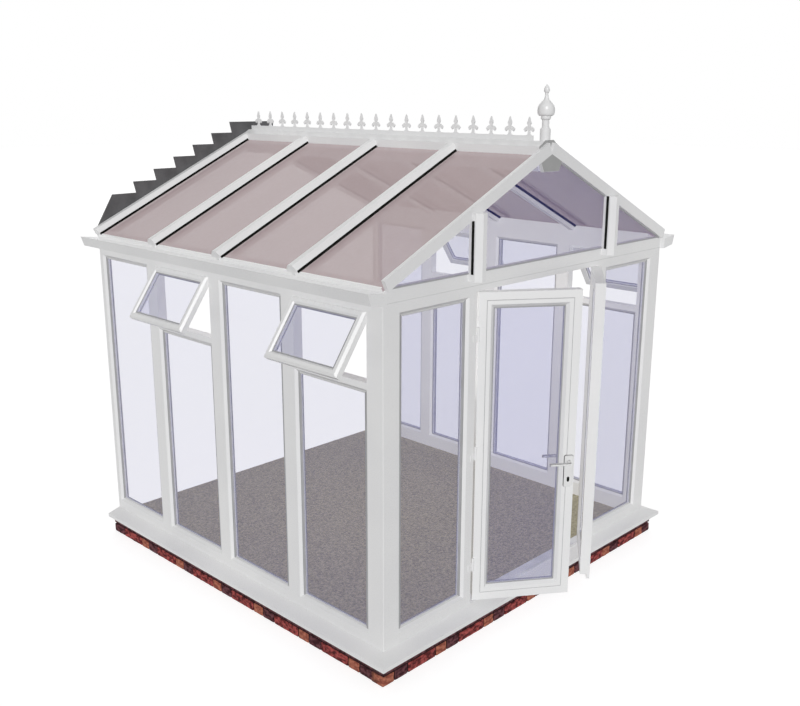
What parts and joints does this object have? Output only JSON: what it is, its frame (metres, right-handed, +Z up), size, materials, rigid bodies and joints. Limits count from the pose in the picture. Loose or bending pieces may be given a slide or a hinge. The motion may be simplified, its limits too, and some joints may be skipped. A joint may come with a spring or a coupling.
{
  "type": "conservatory",
  "caption": "White-framed gable-front conservatory on a low brick plinth, with French doors, propped side vents, a tinted roof, ridge cresting and a turned finial.",
  "frame": {"origin": "on the ground under the slab, at the middle of the frames' plan", "axes": "+Z up, +Y towards the house wall that closes the open end, -Y out of the French doors, +X to the right seen from the front"},
  "size_m": [3.4752, 3.5111, 3.554],
  "materials": {
    "white_plastic": "smooth white extruded plastic",
    "clear_glass": "clear sealed glass with a pale lavender cast",
    "roof_glazing": "bronze-tinted translucent sheet",
    "red_brick": "mixed red, orange and dark purple brick",
    "concrete": "float-finished concrete",
    "carpet_pile": "short speckled loop pile",
    "lead_sheet": "dull grey lead",
    "bright_metal": "satin silver metal"
  },
  "bodies": {
    "conservatory": {"left_sill": "white_plastic", "right_sill": "white_plastic", "front_sill": "white_plastic", "left_corner_post": "white_plastic", "right_corner_post": "white_plastic", "wall_rails": "white_plastic", "wall_mullions": "white_plastic", "wall_transoms": "white_plastic", "vent_sashes": "white_plastic", "front_rails": "white_plastic", "front_jambs": "white_plastic", "door_head_rail": "white_plastic", "eaves_beams": "white_plastic", "gutters": "white_plastic", "gable_tie_beam": "white_plastic", "left_gable_rafter": "white_plastic", "right_gable_rafter": "white_plastic", "gable_bars": "white_plastic", "roof_bars": "white_plastic", "ridge_beam": "white_plastic", "gable_boss": "white_plastic", "ridge_cap": "white_plastic", "ridge_cresting": "white_plastic", "finial": "white_plastic", "door_frame_hinges": "white_plastic", "wall_glass": "clear_glass", "vent_glass": "clear_glass", "front_glass": "clear_glass", "gable_glass": "clear_glass", "roof_panels": "roof_glazing", "left_plinth": "red_brick", "right_plinth": "red_brick", "front_plinth": "red_brick", "floor_slab": "concrete", "carpet": "carpet_pile", "stepped_flashing": "lead_sheet", "door_threshold": "bright_metal"},
    "left_door": {"left_door_frame": "white_plastic", "left_door_glass": "clear_glass", "left_door_hinges": "white_plastic", "door_handle_plates": "bright_metal"},
    "right_door": {"right_door_frame": "white_plastic", "right_door_glass": "clear_glass", "right_door_hinges": "white_plastic"},
    "door_handle": {"door_lever": "bright_metal"}
  },
  "joints": [
    {"name": "left_door_hinge", "type": "hinge", "parent": "conservatory", "child": "left_door", "pos_m": [-0.68, -1.557, 0], "axis": [0, 0, -1], "range_deg": [-36, 54]},
    {"name": "right_door_hinge", "type": "hinge", "parent": "conservatory", "child": "right_door", "pos_m": [0.68, -1.557, 0], "axis": [0, 0, 1], "range_deg": [-36, 54]},
    {"name": "handle_turn", "type": "hinge", "parent": "left_door", "child": "door_handle", "pos_m": [-0.14335, -1.89189, 1.17], "axis": [-0.5878, -0.809, 0], "range_deg": [0, 40], "stiffness_Nm_per_rad": 2, "springref_deg": -20.05}
  ]
}
